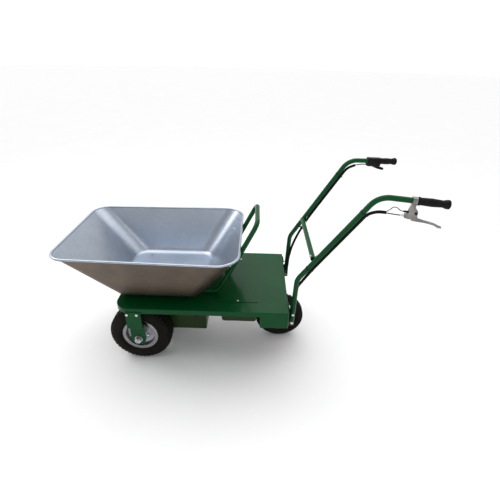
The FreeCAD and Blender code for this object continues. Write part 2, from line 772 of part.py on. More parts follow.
def make_castor():
    """Swivel castor: top plate with kingpin, fork, wheel and axle."""
    x, wheel_x, radius = size("swivel_x"), size("castor_x"), size("castor_radius")
    under = size("deck_top") - size("deck_gauge") - size("rail_height")
    pin, gap = size("kingpin_radius"), size("running_gap")
    last_member = size("deck_rear_x") - size("deck_gauge") - size("member_width") - 1
    plate = fused([box((118, -62, under - 8), (262, 62, under)),
                   rod((x, 0, 289), (x, 0, under - 8), pin),
                   rod((x, 0, 316), (x, 0, under - 8), 34),
                   rod((x, 0, 285.5), (x, 0, 289), 15)])
    bolts = []
    bolt_radius = size("castor_bolt")
    for bolt_x in (castor_bolt_x(size("rear_member_x")), castor_bolt_x(last_member)):
        for y in (-size("castor_bolt_y"), size("castor_bolt_y")):
            plate = plate.cut(rod((bolt_x, y, under - 20), (bolt_x, y, under + 5), bolt_radius + gap))
            bolts.append(bolt((bolt_x, y, under - 8), (bolt_x, y, under + 16), bolt_radius, nut_at=10))
    feature("castor_plate", plate)
    feature("castor_bolts", group(bolts))

    inner, gauge = size("castor_width") / 2 + 8, 6
    crown_low, crown_high = 289.5, 297.5
    crown = box((x - 38, -inner - gauge, crown_low), (x + 48, inner + gauge, crown_high))
    legs = []
    for _, side in SIDES:
        low, high = sorted((side * inner, side * (inner + gauge)))
        outline = [Vector(x - 38, low, crown_high), Vector(x + 48, low, crown_high), Vector(x + 48, low, 284),
                   Vector(wheel_x + 24, low, radius), Vector(wheel_x, low, radius - 28),
                   Vector(wheel_x - 24, low, radius)]
        edges = rounded_edges(outline, [0, 0, 12, 20, 14, 20])
        face = Part.Face(Part.Wire([edge.toShape() for edge in edges]))
        legs.append(face.extrude(Vector(0, high - low, 0)))
    fork = fused([crown] + legs + [rod((x, 0, crown_high - 0.5), (x, 0, 315.5), 32)])
    fork = fork.cut(rod((x, 0, 280), (x, 0, 320), pin + gap))
    fork = fork.cut(rod((wheel_x, -80, radius), (wheel_x, 80, radius), size("castor_axle") + gap))
    feature("castor_fork", fork)

    outer = inner + gauge
    far_end = (wheel_x, outer + 14, radius)
    axle = bolt((wheel_x, -outer, radius), far_end, size("castor_axle"), nut_at=2 * outer)
    feature("castor_axle_bolt", axle)

    place = Placement(Vector(wheel_x, 0, radius), Rotation())
    make_tyre("castor_tyre", place, radius, size("castor_rim"), size("castor_width"), 12)
    body = new_body("castor_rim", place)
    section = new_sketch(body, "XY_Plane", "castor_rim_section")
    rim, lip = size("castor_rim"), size("castor_width") / 2 - 10
    seat = rim - 15.5
    bore = size("castor_axle") + gap
    points = [(rim, lip + 3), (rim, lip), (seat, lip), (seat, -lip), (rim, -lip), (rim, -lip - 3),
              (seat - 3, -lip - 3), (seat - 3, -3), (24, -3), (24, -lip - 14), (bore, -lip - 14),
              (bore, lip + 14), (24, lip + 14), (24, 3), (seat - 3, 3), (seat - 3, lip + 3)]
    draw_outline(section, points, [1.2, 1.2, 3, 3, 1.2, 1.2, 3, 5, 5, 0, 0, 0, 0, 5, 5, 3])
    add_revolution(body, section, "castor_rim_turn")


def make_controller():
    """Finned motor controller under the tail of the deck."""
    top = size("deck_top") - size("deck_gauge")
    case = box((152, 88, 306), (228, 206, top))
    fins = [box((152, y, 300), (228, y + 3, 306)) for y in range(94, 202, 12)]
    feature("motor_controller", fused([case] + fins))


# ---------------------------------------------------------------- handles and controls

def handle_points(side):
    """Corner points of a handle's centre line: foot, elbow, crook and grip end."""
    return [(size("leg_x"), side * size("leg_y"), size("leg_foot")),
            (size("elbow_x"), side * size("leg_y"), size("elbow_z")),
            (size("crook_x"), side * size("crook_y"), size("crook_z")),
            (size("grip_end_x"), side * size("grip_end_y"), size("grip_end_z"))]


def along_handle(side, first, share):
    """A point on one straight run of a handle: run 0 is the leg, 1 the rise, 2 the grip run."""
    points = [Vector(*point) for point in handle_points(side)]
    return points[first] + (points[first + 1] - points[first]) * share


def grip_frame(side, x):
    """A frame on the grip run at a given x: its own X runs along the tube, Z is upright."""
    start, end = [Vector(*point) for point in handle_points(side)[2:]]
    along = (end - start).normalize()
    across = Vector(0, 0, 1).cross(along).normalize()
    share = (x - start.x) / (end.x - start.x)
    return Placement(start + (end - start) * share, Rotation(along, across, along.cross(across), "XYZ"))


def leg_bolts(side):
    """Where the two bolts cross a handle's leg: x and height."""
    climb = size("elbow_z") - size("leg_foot")
    return [(along_handle(side, 0, (height - size("leg_foot")) / climb).x, height)
            for height in (size("low_leg_bolt"), size("high_leg_bolt"))]


def cross_seat(side):
    """A frame where the cross tube meets a handle: X square to the rise, Y across, Z up the rise."""
    middle = along_handle(side, 1, size("cross_share"))
    middle.y = side * size("cross_bolt_y")
    return Placement(middle, Rotation(cross_normal(), Vector(0, 1, 0), handle_rise(), "XYZ"))


def make_handles():
    """Two bent handle tubes, the brackets that hold them and the cross tube between them."""
    radius, wall = size("tube_radius"), size("tube_wall")
    shank = size("bolt_radius")
    bore = shank + size("running_gap")
    rear, gauge = size("deck_rear_x"), size("lug_gauge")
    tail_y, tail_z = size("tail_bolt_y"), size("tail_bolt_z")
    offset = size("cross_offset")
    brackets, bolts = [], []
    for name, side in SIDES:
        points = handle_points(side)
        points[3] = tuple(grip_end(side, -4.2))
        bends = [75, 90]
        seat = cross_seat(side)
        low, high = sorted((-side * 14, side * 20))
        tab = box((radius - offset + 0.05, low, -16), (radius - offset + 4, high, 16))
        tab.Placement = seat
        tube = fused([pipe(points, bends, radius), tab]).cut(pipe(points, bends, radius - wall))
        tube = tube.cut(placed(rod((-40, 0, 0), (40, 0, 0), bore), seat))

        inner = side * (size("leg_y") - radius)
        face = inner - side * gauge
        lug_low, lug_high = sorted((inner, face))
        web_low, web_high = sorted((side * (tail_y - 16), side * (size("leg_y") + 26)))
        foot_low, foot_high = sorted((face, side * (size("leg_y") + 26)))
        bracket = fused([box((rear, lug_low, 266), (rear + 36, lug_high, 352)),
                         box((rear, foot_low, 300), (rear + 4, foot_high, 352)),
                         box((rear, web_low, 345), (rear + 4, web_high, size("deck_top") + 4))])
        for x, height in leg_bolts(side):
            hole = rod((x, 0, height), (x, side * 300, height), bore)
            tube = tube.cut(hole)
            bracket = bracket.cut(hole)
            head = (x, side * (size("leg_y") + radius), height)
            bolts.append(bolt(head, (x, face - side * 8, height), shank, nut_at=2 * radius + gauge))
        across = side * tail_y
        bracket = bracket.cut(rod((rear - 1, across, tail_z), (rear + 5, across, tail_z), bore))
        bolts.append(bolt((rear + 4, across, tail_z), (rear - 14, across, tail_z), shank))
        through = bolt((-offset - radius, 0, 0), (radius - offset + 17, 0, 0), shank, nut_at=2 * radius + 4.1)
        bolts.append(placed(through, seat))
        feature(f"{name}_handle", tube)
        brackets.append(bracket)
    feature("handle_brackets", group(brackets))

    middle = along_handle(1, 1, size("cross_share")) - cross_normal() * offset
    reach = size("cross_tube_end")
    bar = rod((middle.x, -reach, middle.z), (middle.x, reach, middle.z), radius)
    bar = bar.cut(rod((middle.x, -300, middle.z), (middle.x, 300, middle.z), radius - wall))
    for _, side in SIDES:
        bar = bar.cut(placed(rod((-40, 0, 0), (40, 0, 0), bore), cross_seat(side)))
    feature("handle_cross_tube", bar)
    feature("handle_bolts", group(bolts))


def placed(shape, placement):
    """The shape moved into a frame."""
    shape.Placement = placement.multiply(shape.Placement)
    return shape


def grip_end(side, shift):
    """A point on the grip run, measured along it from the very end."""
    start, end = [Vector(*point) for point in handle_points(side)[2:]]
    return end + (end - start).normalize() * shift


def handle_rise():
    """Unit direction of the handles' rise, seen from the side."""
    run = size("crook_x") - size("elbow_x")
    climb = size("crook_z") - size("elbow_z")
    return Vector(run, 0, climb).normalize()


def cross_normal():
    """Unit direction square to the rise, pointing down and back."""
    rise = handle_rise()
    return Vector(rise.z, 0, -rise.x)


def make_grips():
    """Rubber grips with a collar, a full waist and a flared end."""
    for name, side in SIDES:
        start = size(f"{name}_grip_x")
        frame = grip_frame(side, start)
        length = (grip_end(side, 0) - frame.Base).Length
        radius, bore = size("grip_radius"), size("tube_radius") + size("running_gap")
        body = new_body(f"{name}_grip", frame)
        section = new_sketch(body, "XZ_Plane", f"{name}_grip_section")
        points = [(0, bore), (0, radius + 1.5), (6, radius + 1.5), (11, radius - 0.8),
                  (length * 0.45, radius + 0.8), (length - 28, radius - 2), (length - 13, radius + 2.5),
                  (length, radius + 2.5), (length, 0), (length - 4, 0), (length - 4, bore)]
        draw_outline(section, points, [0, 1.5, 3, 6, 60, 14, 9, 5, 0, 0, 0])
        add_revolution(body, section, f"{name}_grip_turn", axis="H_Axis")


def make_brake_controls():
    """Clamp bracket, sprung brake lever, its screw, the cable adjuster and the cut-off switch."""
    place = grip_frame(-1, size("brake_clamp_x"))
    tube, gap = size("tube_radius"), size("running_gap")
    pivot_x, pivot_z, pin = 17, -53, 3
    cable_z, switch_z = -71, -52
    ring = rod((-10, 0, 0), (10, 0, 0), tube + 4.5)
    cheeks = [(-9, -28), (10, -28), (23, -42), (26, -54), (15, -70), (6, -80), (-8, -82), (-26, -78),
              (-26, -64), (-13, -58), (-13, -42)]
    body = plate_y(cheeks, [0, 0, 12, 10, 12, 10, 8, 3, 3, 8, 8], -9, 9)
    bracket = fused([ring, box((-9, -9, -30), (10, 9, -8)), body])
    bracket = bracket.cut(rod((-40, 0, 0), (40, 0, 0), tube + gap))
    bracket = bracket.cut(box((-14, -5.4, -110), (60, 5.4, -41)))
    bracket = bracket.cut(rod((pivot_x, -20, pivot_z), (pivot_x, 20, pivot_z), pin + gap))
    bracket = bracket.cut(rod((-40, 0, cable_z), (-13, 0, cable_z), pin + gap))
    bracket = bracket.cut(rod((-20, -7.2, switch_z), (-11, -7.2, switch_z), 1.6))
    feature("brake_bracket", bracket.removeSplitter(), place)

    screw = rod((pivot_x, -9.2, pivot_z), (pivot_x, 11, pivot_z), pin)
    screw = screw.fuse([rod((pivot_x, -13, pivot_z), (pivot_x, -9.1, pivot_z), 5.5),
                        hexagon((pivot_x, 9.1, pivot_z), (pivot_x, 13, pivot_z), 9)])
    feature("lever_pivot_screw", screw.removeSplitter(), place)

    boss = rod((pivot_x, -5, pivot_z), (pivot_x, 5, pivot_z), 7.5)
    blade = plate_y([(10, -56), (24, -55), (30, -76), (65, -83), (101, -89), (121, -97.5), (133, -100),
                     (134, -107), (119, -107), (99, -97), (62, -91.5), (28, -90), (6, -89), (1, -78)],
                    [0, 0, 12, 80, 60, 12, 3, 3, 12, 60, 80, 40, 6, 6], -5, 5)
    lever = boss.fuse(blade).cut(rod((pivot_x, -9, pivot_z), (pivot_x, 9, pivot_z), pin + gap))
    feature("brake_lever", lever.removeSplitter(), place)

    barrel = rod((-27, 0, cable_z), (-15, 0, cable_z), pin)
    barrel = barrel.fuse([rod((-35, 0, cable_z), (-26.1, 0, cable_z), 5.5),
                          rod((-44, 0, cable_z), (-35, 0, cable_z), 4)])
    feature("cable_adjuster", barrel.removeSplitter(), place)

    switch = rod((-28, 0, switch_z), (-13.1, 0, switch_z), 4.5)
    switch = switch.fuse(Part.makeCone(2.6, 4.5, 6, Vector(-34, 0, switch_z), Vector(1, 0, 0)))
    feature("brake_switch", switch.removeSplitter(), place)


def plate_y(corners, radii, low, high):
    """A plate with rounded corners in the XZ plane, between two Y values."""
    edges = rounded_edges([Vector(x, low, z) for x, z in corners], radii)
    return Part.Face(Part.Wire([edge.toShape() for edge in edges])).extrude(Vector(0, high - low, 0))


def make_throttle():
    """Throttle housing round the right handle, with its sprung finger trigger."""
    place = grip_frame(1, size("throttle_x"))
    tube, gap, pin = size("tube_radius"), size("running_gap"), 2
    pivot_x, pivot_z = -18, -21
    case = box((-35, -19, -28), (36, 19, 18))
    case = case.makeFillet(7, [edge for edge in case.Edges if edge.BoundBox.XLength > 50])
    case = case.cut(rod((-60, 0, 0), (60, 0, 0), tube + gap)).cut(box((-28, -5.6, -40), (40, 5.6, -14.2)))
    case = case.fuse(rod((pivot_x, -8, pivot_z), (pivot_x, 8, pivot_z), pin))
    feature("throttle_housing", case.removeSplitter(), place)

    boss = rod((pivot_x, -5, pivot_z), (pivot_x, 5, pivot_z), 5.5)
    blade = plate_y([(-19, -17), (30, -29), (66, -37), (70, -46), (60, -50), (26, -42), (-22, -25)],
                    [1, 30, 4, 4, 5, 30, 1], -5, 5)
    trigger = boss.fuse(blade).cut(rod((pivot_x, -8, pivot_z), (pivot_x, 8, pivot_z), pin + gap))
    feature("throttle_trigger", trigger.removeSplitter(), place)


# ---------------------------------------------------------------- cables

def under_tube(side, share, gap):
    """A point below a handle's rise, with its centre `gap` from the tube's centre line."""
    return along_handle(side, 1, share) + cross_normal() * gap


def leg_route(side):
    """From the inner side of a handle's leg down and in through the tail skirt's port."""
    y, z = size("port_y"), size("port_z")
    return [Vector(299.5, side * (y + 14.5), 400), Vector(298, side * (y + 7), 368),
            Vector(294, side * (y + 0.5), 338), Vector(278, side * y, z + 1), Vector(242, side * y, z)]


def shifted(points, across):
    """The same route moved sideways."""
    return [point + Vector(0, across, 0) for point in points]


def make_cables():
    """Brake cable, cut-off lead and throttle harness, with the sleeves that hold them to the handles."""
    sleeve_radius, sleeve_bore = size("sleeve_radius"), size("sleeve_bore")
    gap = size("tube_radius") + sleeve_radius + 0.6
    left, right = grip_frame(-1, size("brake_clamp_x")), grip_frame(1, size("throttle_x"))

    # left sleeve: it leaves the handle near the crook and stops short of the lever
    mouth = left.multVec(Vector(-100, 0, -67))
    shared = [left.multVec(Vector(-136, 0, -68)), under_tube(-1, 0.84, gap), under_tube(-1, 0.16, gap),
              Vector(326, -231, 532), Vector(305, -215, 482)] + leg_route(-1)
    inboard = [Vector(224, -214, 312), Vector(206, -236, 315), Vector(190, -262, 323)]
    inboard += [Vector(173, -284, 334), Vector(158, -291.5, 347), Vector(138, -292, 360)]
    inboard += [Vector(112, -292, 367), Vector(-150, -292, 367), Vector(-172, -292, 360)]
    inboard += [Vector(-190, -291.5, 347), Vector(-203, -284, 334), Vector(-212, -262, 322)]
    brake_x, brake_z = brake_entry()
    inboard += [Vector(brake_x, -234, 304), Vector(brake_x, -202, 278), Vector(brake_x, -176, 256)]
    inboard += [Vector(brake_x, -152, brake_z + 1), Vector(brake_x, -110, brake_z)]
    lead_in = [left.multVec(Vector(-44.1, 0, -71)), left.multVec(Vector(-76, 0, -70.5)),
               left.multVec(Vector(-100, -2, -68))]
    brake_shift = -2.3
    route = lead_in + shifted(shared, brake_shift) + inboard + [Vector(brake_x, -46, brake_z)]
    sheath = cord("brake_cable", route, size("brake_cable_radius"))
    inner = rod((brake_x, -46, brake_z), (brake_x, 10, brake_z), 1)
    feature("brake_cable", fused([sheath, inner]))
    sleeves = [sleeve("left sleeve", [mouth] + shared, sleeve_radius, sleeve_bore)]

    # cut-off switch lead: over to the sleeve, down inside it and across to the controller
    lead_out = [left.multVec(Vector(-34.1, 0, -52)), left.multVec(Vector(-46, 0, -50)),
                left.multVec(Vector(-62, 0, -38)), left.multVec(Vector(-76, 0, -38)),
                left.multVec(Vector(-90, 2, -56)), left.multVec(Vector(-104, 2.5, -67))]
    across = [Vector(233, -186, 318), Vector(233, -150, 326), Vector(233, 24, 326)]
    across += [Vector(222, 62, 326), Vector(221, 88, 326)]
    lead_shift = 2.6
    route = lead_out + shifted(shared, lead_shift) + across
    feature("switch_lead", cord("switch_lead", route, size("lead_radius")))

    # throttle harness: under the grip run, into its sleeve and down the right handle
    shared = [under_tube(1, 0.93, gap + 1), under_tube(1, 0.80, gap), under_tube(1, 0.27, gap),
              Vector(345, 238, 552), Vector(316, 224, 482)] + leg_route(1)
    mouth = right.multVec(Vector(-106, 0, -27))
    start = [right.multVec(Vector(-35.1, 0, -20)), right.multVec(Vector(-66, 0, -20)),
             right.multVec(Vector(-90, 0, -23))]
    route = start + [mouth] + shared[:-1] + [Vector(228, size("port_y"), size("port_z"))]
    feature("throttle_harness", cord("throttle_harness", route, size("harness_radius")))
    sleeves.append(sleeve("right sleeve", [mouth] + shared, sleeve_radius, sleeve_bore))
    feature("cable_sleeves", group(sleeves))


def sleeve(label, points, radius, bore):
    """A hollow sleeve along a route."""
    radii = bends(label, points)
    return pipe(points, radii, radius).cut(pipe(points, radii, bore))


# ---------------------------------------------------------------- tipping pan

def pan_outline(height, inset):
    """The pan's outline at a height above its floor, as a closed wire set in by `inset`."""
    share = height / (size("pan_rim") - size("pan_floor"))
    floor_half = size("pan_floor_width") / 2
    front = size("pan_floor_front_x") + share * (size("pan_rim_front_x") - size("pan_floor_front_x")) + inset
    rear = size("pan_floor_rear_x") + share * (size("pan_rim_rear_x") - size("pan_floor_rear_x")) - inset
    narrow = floor_half + share * (size("pan_rim_front_width") / 2 - floor_half) - inset
    wide = floor_half + share * (size("pan_rim_rear_width") / 2 - floor_half) - inset
    low = size("pan_floor_corner")
    front_radius = low + share * (size("pan_front_corner") - low) - inset
    rear_radius = low + share * (size("pan_rear_corner") - low) - inset
    z = size("pan_floor") + height
    corners = [Vector(front, -narrow, z), Vector(rear, -wide, z)]
    corners += [Vector(rear, wide, z), Vector(front, narrow, z)]
    edges = rounded_edges(corners, [front_radius, rear_radius, rear_radius, front_radius])
    return Part.Wire([edge.toShape() for edge in edges])


def pan_solid(low, high, inset, fillet):
    """The solid between two heights of the pan's outline, with its floor edge rounded."""
    solid = Part.makeLoft([pan_outline(low, inset), pan_outline(high, inset)], True, True)
    floor = size("pan_floor") + low
    return solid.makeFillet(fillet, [edge for edge in solid.Edges if edge.BoundBox.ZMax < floor + 1])


def make_pan():
    """Pressed steel pan with large corner radii and a rolled rim."""
    depth, gauge = size("pan_rim") - size("pan_floor"), size("pan_gauge")
    fillet = size("pan_floor_fillet")
    pan = pan_solid(0, depth, 0, fillet)
    pan = pan.cut(pan_solid(gauge, depth + 1, gauge * 1.15, fillet - gauge))
    spine = pan_outline(depth, -3)
    start = spine.Edges[0].firstVertex().Point
    tangent = spine.Edges[0].tangentAt(spine.Edges[0].FirstParameter)
    ring = Part.Wire(Part.makeCircle(size("rim_roll"), start, tangent))
    pan = fused([pan, spine.makePipeShell([ring], True, False)])
    bore = size("bolt_radius") + size("running_gap")
    for point, normal in pan_bolt_seats():
        pan = pan.cut(rod(point - normal * 12, point + normal * 12, bore))
    feature("tub_pan", pan)


def rear_wall_point(z, y):
    """A point on the outside of the pan's rear wall, and the wall's outward normal."""
    run = size("pan_rim_rear_x") - size("pan_floor_rear_x")
    climb = size("pan_rim") - size("pan_floor")
    x = size("pan_floor_rear_x") + run * (z - size("pan_floor")) / climb
    return Vector(x, y, z), Vector(climb, 0, -run).normalize()


def pan_bolt_seats():
    """Where the pan is bolted to its tube frame: two places on the floor, two on the rear wall."""
    floor = [(Vector(size("floor_bolt_x"), side * size("floor_bolt_y"), size("pan_floor")), Vector(0, 0, -1))
             for side in (-1, 1)]
    wall = [rear_wall_point(size("wall_bolt_z"), side * size("wall_bolt_y")) for side in (-1, 1)]
    return floor + wall


def make_tub_frame():
    """Tipping handle and runners: one bent tube with hinge bosses, floor tabs and a wall strap."""
    radius, gap = size("tube_radius"), size("running_gap")
    hinge_x, hinge_z, pin = size("hinge_x"), size("hinge_z"), size("hinge_pin")
    runner, top_y = size("runner_y"), size("hoop_top_y")
    bend_x, top_x, top_z = size("hoop_foot_x"), size("hoop_top_x"), size("hoop_top_z")
    floor, gauge = size("pan_floor"), size("strap_gauge")
    half = [(hinge_x, runner, hinge_z), (bend_x, runner, hinge_z), (top_x, top_y, top_z)]
    route = half + [(x, -y, z) for x, y, z in reversed(half)]
    pieces = [hollow_pipe(route, [60, 42, 42, 60], radius, size("tube_wall"))]

    seat, normal = rear_wall_point(size("wall_bolt_z"), 0)
    wall_frame = Placement(seat, Rotation(normal, Vector(0, 1, 0), normal.cross(Vector(0, 1, 0)), "XYZ"))
    strap = box((0.05, -216, -15), (gauge, 216, 15))
    strap.Placement = wall_frame
    pieces.append(strap)
    inside_wall = box((-400, -300, -200), (0.05, 300, 200))
    inside_wall.Placement = wall_frame
    leg_x = bend_x + (seat.z - hinge_z) / (top_z - hinge_z) * (top_x - bend_x)
    for _, side in SIDES:
        near, far = side * (runner - 12), side * (runner + 12)
        pieces.append(rod((hinge_x, near, hinge_z), (hinge_x, far, hinge_z), 12))
        low, high = sorted((side * (runner + 4), side * (size("floor_bolt_y") + 16)))
        x = size("floor_bolt_x")
        pieces.append(box((x - 16, low, floor - gauge), (x + 16, high, floor)))
        middle = side * (runner - 2)
        block = box((seat.x + 4, middle - 9, seat.z - 14), (leg_x, middle + 9, seat.z + 6))
        pieces.append(block.cut(inside_wall))
    frame = fused(pieces)
    for _, side in SIDES:
        ends = [(hinge_x, side * runner + reach, hinge_z) for reach in (-13, 13)]
        frame = frame.cut(rod(ends[0], ends[1], pin + gap))
    shank = size("bolt_radius")
    bolts = []
    for point, normal in pan_bolt_seats():
        frame = frame.cut(rod(point - normal * 12, point + normal * 12, shank + gap))
        on_floor = normal.x == 0
        inside = point - normal * size("pan_gauge") * (1.0 if on_floor else 0.95)
        tip = point + normal * (12 if on_floor else 14)
        bolts.append(bolt(inside, tip, shank, nut_at=size("pan_gauge") + gauge))
    feature("tub_frame", frame)
    feature("tub_bolts", group(bolts))


def make_tub_hinge():
    """Lugs welded to the deck's front edge, and the pins on which the tub tips."""
    x, z, pin = size("hinge_x"), size("hinge_z"), size("hinge_pin")
    top = size("deck_top")
    lugs, pins = [], []
    for _, side in SIDES:
        middle = side * size("runner_y")
        for offset in (-17, 17):
            low, high = middle + offset - 4.5, middle + offset + 4.5
            lug = rod((x, low, z), (x, high, z), 11.5).fuse(box((x - 11.5, low, top), (x + 11.5, high, z)))
            hole = rod((x, low - 1, z), (x, high + 1, z), pin + size("running_gap"))
            lugs.append(lug.cut(hole).removeSplitter())
        head = middle + side * 22.5
        shape = rod((x, middle - side * 25, z), (x, head, z), pin)
        pins.append(shape.fuse(rod((x, head, z), (x, head + side * 4, z), 9)).removeSplitter())
    feature("tub_hinge_lugs", group(lugs))
    feature("tub_hinge_pins", group(pins))


make_deck()
make_frame()
make_battery_bay()
for name, side in SIDES:
    make_wheel(name, side)
    make_wheel_bracket(name, side)
make_axle_supports()
make_drive()
make_castor()
make_controller()
make_handles()
make_grips()
make_brake_controls()
make_throttle()
make_cables()
make_pan()
make_tub_frame()
make_tub_hinge()


def check_and_write():
    """Stops on any failed object or broken shape, then writes one STEP file for each sub-part."""
    doc.recompute()
    for item in doc.Objects:
        if "Invalid" in item.State or "Error" in item.State:
            raise RuntimeError(f"{item.Name} failed: {item.State}")
    for item in sub_parts:
        if item.Shape.isNull() or not item.Shape.isValid():
            raise RuntimeError(f"{item.Label} has a broken shape")
    os.makedirs("parts", exist_ok=True)
    for item in sub_parts:
        item.Shape.exportStep(f"parts/{item.Label}.step")
    print(len(sub_parts), "sub-parts written")


check_and_write()
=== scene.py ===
"""Looks of the power wheelbarrow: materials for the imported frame, finer pieces, light and camera."""
import json
import math

import bmesh
import bpy
from mathutils import Matrix, Vector


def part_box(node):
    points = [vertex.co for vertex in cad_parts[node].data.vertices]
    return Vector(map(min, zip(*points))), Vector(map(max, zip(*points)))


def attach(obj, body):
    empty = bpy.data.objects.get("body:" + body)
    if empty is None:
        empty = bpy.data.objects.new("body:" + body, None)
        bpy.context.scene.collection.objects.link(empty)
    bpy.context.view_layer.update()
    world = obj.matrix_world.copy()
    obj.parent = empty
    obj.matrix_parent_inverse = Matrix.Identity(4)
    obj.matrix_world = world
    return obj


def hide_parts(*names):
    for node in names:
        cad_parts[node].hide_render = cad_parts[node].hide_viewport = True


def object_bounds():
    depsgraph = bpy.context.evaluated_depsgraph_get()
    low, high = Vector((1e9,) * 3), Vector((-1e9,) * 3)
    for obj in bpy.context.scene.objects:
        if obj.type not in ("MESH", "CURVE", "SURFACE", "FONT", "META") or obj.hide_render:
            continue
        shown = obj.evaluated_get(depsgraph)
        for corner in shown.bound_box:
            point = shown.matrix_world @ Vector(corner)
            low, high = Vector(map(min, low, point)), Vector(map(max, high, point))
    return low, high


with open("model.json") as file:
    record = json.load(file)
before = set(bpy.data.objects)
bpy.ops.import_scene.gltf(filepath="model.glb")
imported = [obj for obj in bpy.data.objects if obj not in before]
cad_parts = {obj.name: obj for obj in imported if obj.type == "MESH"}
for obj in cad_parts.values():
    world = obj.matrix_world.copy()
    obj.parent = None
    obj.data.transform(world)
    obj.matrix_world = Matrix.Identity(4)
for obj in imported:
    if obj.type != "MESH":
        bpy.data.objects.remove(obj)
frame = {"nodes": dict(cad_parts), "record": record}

CAD_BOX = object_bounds()
NODES = frame["nodes"]
TAU = 2 * math.pi


# ---------------------------------------------------------------- materials

def map_range(tree, value, low, high, out_low, out_high):
    """Carries `value` from the range low..high to out_low..out_high."""
    made = tree.nodes.new("ShaderNodeMapRange")
    tree.links.new(value, made.inputs["Value"])
    for name, number in (("From Min", low), ("From Max", high), ("To Min", out_low), ("To Max", out_high)):
        made.inputs[name].default_value = number
    return made.outputs["Result"]


class Shader:
    """A principled material with short helpers for the nodes that feed it."""

    def __init__(self, name, rough=0.5, metal=0.0, coat=0.0, coat_rough=0.1, specular=0.5):
        self.material = bpy.data.materials.new(name)
        self.material.use_nodes = True
        self.tree = self.material.node_tree
        self.shader = self.tree.nodes["Principled BSDF"]
        self.shader.inputs["Roughness"].default_value = rough
        self.shader.inputs["Metallic"].default_value = metal
        self.shader.inputs["Coat Weight"].default_value = coat
        self.shader.inputs["Coat Roughness"].default_value = coat_rough
        self.shader.inputs["Specular IOR Level"].default_value = specular
        coordinates = self.tree.nodes.new("ShaderNodeTexCoord")
        self.place = coordinates.outputs["Object"]
        self.surface = coordinates.outputs["Normal"]
        self.normal = None

    def node(self, kind, **inputs):
        made = self.tree.nodes.new(kind)
        for name, value in inputs.items():
            socket = made.inputs[name.replace("_", " ")]
            if isinstance(value, bpy.types.NodeSocket):
                self.tree.links.new(value, socket)
            else:
                socket.default_value = value
        return made

    def stretched(self, x, y, z):
        made = self.node("ShaderNodeMapping", Vector=self.place)
        made.inputs["Scale"].default_value = (x, y, z)
        return made.outputs["Vector"]

    def noise(self, scale, detail=4.0, rough=0.55, place=None):
        made = self.node("ShaderNodeTexNoise", Vector=place or self.place, Scale=scale,
                         Detail=detail, Roughness=rough)
        return made.outputs["Fac"]

    def cells(self, scale, place=None):
        made = self.node("ShaderNodeTexVoronoi", Vector=place or self.place, Scale=scale)
        return made.outputs["Color"]

    def band(self, value, low, high, out_low=0.0, out_high=1.0):
        return map_range(self.tree, value, low, high, out_low, out_high)

    def total(self, first, second):
        made = self.tree.nodes.new("ShaderNodeMath")
        made.operation = "ADD"
        self.tree.links.new(first, made.inputs[0])
        self.tree.links.new(second, made.inputs[1])
        return made.outputs["Value"]

    def ramp(self, value, stops):
        made = self.node("ShaderNodeValToRGB", Fac=value)
        ramp = made.color_ramp
        while len(ramp.elements) < len(stops):
            ramp.elements.new(0.5)
        for element, (at, color) in zip(ramp.elements, stops):
            element.position = at
            element.color = (*color, 1)
        return made.outputs["Color"]

    def mix(self, share, first, second, blend="MIX"):
        made = self.tree.nodes.new("ShaderNodeMix")
        made.data_type = "RGBA"
        made.blend_type = blend
        sockets = (made.inputs[0], made.inputs[6], made.inputs[7])
        for socket, value in zip(sockets, (share, first, second)):
            if isinstance(value, bpy.types.NodeSocket):
                self.tree.links.new(value, socket)
            elif socket.type == "RGBA":
                socket.default_value = (*value, 1)
            else:
                socket.default_value = value
        return made.outputs[2]

    def color(self, value):
        self.tree.links.new(value, self.shader.inputs["Base Color"])

    def roughness(self, value):
        self.tree.links.new(value, self.shader.inputs["Roughness"])

    def bump(self, height, strength, distance=0.001):
        made = self.node("ShaderNodeBump", Height=height, Strength=strength, Distance=distance)
        if self.normal is not None:
            self.tree.links.new(self.normal, made.inputs["Normal"])
        self.normal = made.outputs["Normal"]
        self.tree.links.new(self.normal, self.shader.inputs["Normal"])

    def soft_edges(self, radius):
        made = self.node("ShaderNodeBevel", Radius=radius)
        made.samples = 6
        self.normal = made.outputs["Normal"]
        self.tree.links.new(self.normal, self.shader.inputs["Normal"])


def gloss_paint(name, deep, light, rough=0.27, edge=0.0008):
    """Sprayed enamel: two close tones, fine orange peel, faint dust and rub marks."""
    it = Shader(name, rough=rough, coat=0.08, coat_rough=0.06, specular=0.10)
    it.soft_edges(edge)
    tone = it.band(it.noise(3.5, 5), 0.3, 0.7)
    base = it.ramp(tone, [(0.0, deep), (1.0, light)])
    dust = it.band(it.noise(160, 8, 0.75), 0.55, 0.8, 0.0, 0.10)
    it.color(it.mix(dust, base, tuple(0.6 * part + 0.02 for part in light)))
    rubs = it.noise(6, 7, 0.62)
    it.roughness(it.band(rubs, 0.35, 0.7, rough - 0.02, rough + 0.05))
    it.bump(it.noise(420, 2), 0.05, 0.0003)
    return it.material


def rolled_steel(name, dark, light, rough, metal=1.0, grain=60, spangle=0.35, edge=0.0006):
    """Zinc coated steel: crystal spangle, fine brushing and slight oxide bloom."""
    it = Shader(name, rough=rough, metal=metal)
    it.soft_edges(edge)
    crystals = it.node("ShaderNodeSeparateColor", Color=it.cells(grain)).outputs["Red"]
    bloom = it.noise(5, 6, 0.6)
    tone = it.mix(spangle, it.ramp(bloom, [(0.3, dark), (0.72, light)]),
                  it.ramp(crystals, [(0.0, dark), (1.0, light)]))
    it.color(tone)
    streaks = it.noise(26, 5, 0.65, it.stretched(1, 1, 9))
    it.roughness(it.total(it.band(streaks, 0.3, 0.75, rough - 0.07, rough + 0.1),
                          it.band(crystals, 0.0, 1.0, -0.03, 0.03)))
    it.bump(it.noise(180, 4), 0.05, 0.0004)
    return it.material


